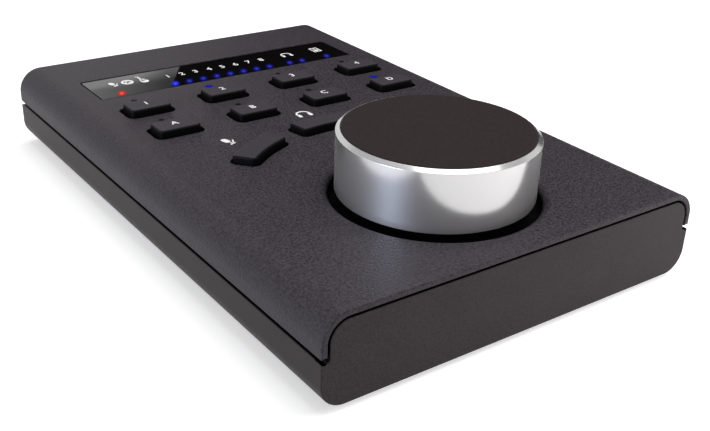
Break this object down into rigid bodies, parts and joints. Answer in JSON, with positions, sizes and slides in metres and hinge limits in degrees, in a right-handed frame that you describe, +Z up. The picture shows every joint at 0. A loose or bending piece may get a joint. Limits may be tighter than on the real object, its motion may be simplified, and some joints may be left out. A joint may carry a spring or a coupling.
{
  "type": "audio interface remote control",
  "caption": "Desktop remote control for an audio interface: a slab housing with a large turning knob, press keys in rows and round the knob, and a dark window of level lights.",
  "frame": {"origin": "middle of the footprint, on the surface that the feet stand on", "axes": "+X to the user's right, +Y away from the user towards the window and the rear panel, +Z up"},
  "size_m": [0.104, 0.1588, 0.0371],
  "materials": {
    "cover_coating": "matt fine-textured charcoal coating",
    "tray_coating": "satin charcoal coating",
    "lens": "gloss, smoked",
    "key": "matt charcoal",
    "knob_pad": "soft matt",
    "knob_shell": "satin turned, bright chamfer",
    "foot": "matt",
    "mat": "matt",
    "steel": "zinc plated",
    "black_steel": "blackened",
    "brass": "plain",
    "black_plastic": "matt black",
    "clear": "clear light guide",
    "board": "green solder resist",
    "ribbon": "plain"
  },
  "bodies": {
    "housing": {"top_cover": "cover_coating", "base_tray": "tray_coating", "foot_1": "foot", "foot_2": "foot", "foot_3": "foot", "foot_4": "foot", "base_screw_1": "black_steel", "base_screw_2": "black_steel", "base_screw_3": "black_steel", "base_screw_4": "black_steel", "pillar_1": "brass", "pillar_2": "brass", "pillar_3": "brass", "pillar_4": "brass", "board_standoff_1": "brass", "board_standoff_2": "brass", "board_standoff_3": "brass", "board_standoff_4": "brass", "encoder_bushing": "brass", "display_lens": "lens", "strip_light_guide": "clear", "key_light_guide_rear": "clear", "key_light_guide_front": "clear", "keypad_mat": "mat", "main_board": "board", "encoder_board": "board", "board_screw_1": "steel", "board_screw_2": "steel", "board_screw_3": "steel", "board_screw_4": "steel", "well_nut_1": "steel", "well_nut_2": "steel", "well_nut_3": "steel", "well_nut_4": "steel", "usb_shell": "steel", "encoder_washer": "steel", "encoder_nut": "steel", "board_ribbon": "ribbon", "usb_tongue": "black_plastic", "knob_well": "black_plastic", "encoder_body": "black_plastic"},
    "push_switch": {"encoder_plunger": "black_plastic"},
    "knob": {"encoder_shaft": "steel", "encoder_wheel": "steel", "knob_hub": "black_plastic", "knob_grub_screw": "black_steel", "knob_shell": "knob_shell", "knob_top_pad": "knob_pad"},
    "key_1": {"key_1": "key"},
    "key_2": {"key_2": "key"},
    "key_3": {"key_3": "key"},
    "key_4": {"key_4": "key"},
    "key_a": {"key_a": "key"},
    "key_b": {"key_b": "key"},
    "key_c": {"key_c": "key"},
    "key_d": {"key_d": "key"},
    "key_input": {"key_input": "key"},
    "key_headphones": {"key_headphones": "key"},
    "key_speakers": {"key_speakers": "key"}
  },
  "joints": [
    {"name": "knob_press", "type": "slide", "parent": "housing", "child": "push_switch", "axis": [0, 0, -1], "range_m": [0, 0.0005], "stiffness_N_per_m": 3000, "springref_m": -0.0006},
    {"name": "knob_turn", "type": "hinge", "parent": "push_switch", "child": "knob", "pos_m": [0, -0.0474, 0.03], "axis": [0, 0, 1], "continuous": true},
    {"name": "key_1_press", "type": "slide", "parent": "housing", "child": "key_1", "axis": [0, 0, -1], "range_m": [0, 0.0008], "stiffness_N_per_m": 600, "springref_m": -0.0005},
    {"name": "key_2_press", "type": "slide", "parent": "housing", "child": "key_2", "axis": [0, 0, -1], "range_m": [0, 0.0008], "stiffness_N_per_m": 600, "springref_m": -0.0005},
    {"name": "key_3_press", "type": "slide", "parent": "housing", "child": "key_3", "axis": [0, 0, -1], "range_m": [0, 0.0008], "stiffness_N_per_m": 600, "springref_m": -0.0005},
    {"name": "key_4_press", "type": "slide", "parent": "housing", "child": "key_4", "axis": [0, 0, -1], "range_m": [0, 0.0008], "stiffness_N_per_m": 600, "springref_m": -0.0005},
    {"name": "key_a_press", "type": "slide", "parent": "housing", "child": "key_a", "axis": [0, 0, -1], "range_m": [0, 0.0008], "stiffness_N_per_m": 600, "springref_m": -0.0005},
    {"name": "key_b_press", "type": "slide", "parent": "housing", "child": "key_b", "axis": [0, 0, -1], "range_m": [0, 0.0008], "stiffness_N_per_m": 600, "springref_m": -0.0005},
    {"name": "key_c_press", "type": "slide", "parent": "housing", "child": "key_c", "axis": [0, 0, -1], "range_m": [0, 0.0008], "stiffness_N_per_m": 600, "springref_m": -0.0005},
    {"name": "key_d_press", "type": "slide", "parent": "housing", "child": "key_d", "axis": [0, 0, -1], "range_m": [0, 0.0008], "stiffness_N_per_m": 600, "springref_m": -0.0005},
    {"name": "key_input_press", "type": "slide", "parent": "housing", "child": "key_input", "axis": [0, 0, -1], "range_m": [0, 0.0008], "stiffness_N_per_m": 600, "springref_m": -0.0005},
    {"name": "key_headphones_press", "type": "slide", "parent": "housing", "child": "key_headphones", "axis": [0, 0, -1], "range_m": [0, 0.0008], "stiffness_N_per_m": 600, "springref_m": -0.0005},
    {"name": "key_speakers_press", "type": "slide", "parent": "housing", "child": "key_speakers", "axis": [0, 0, -1], "range_m": [0, 0.0008], "stiffness_N_per_m": 600, "springref_m": -0.0005}
  ]
}
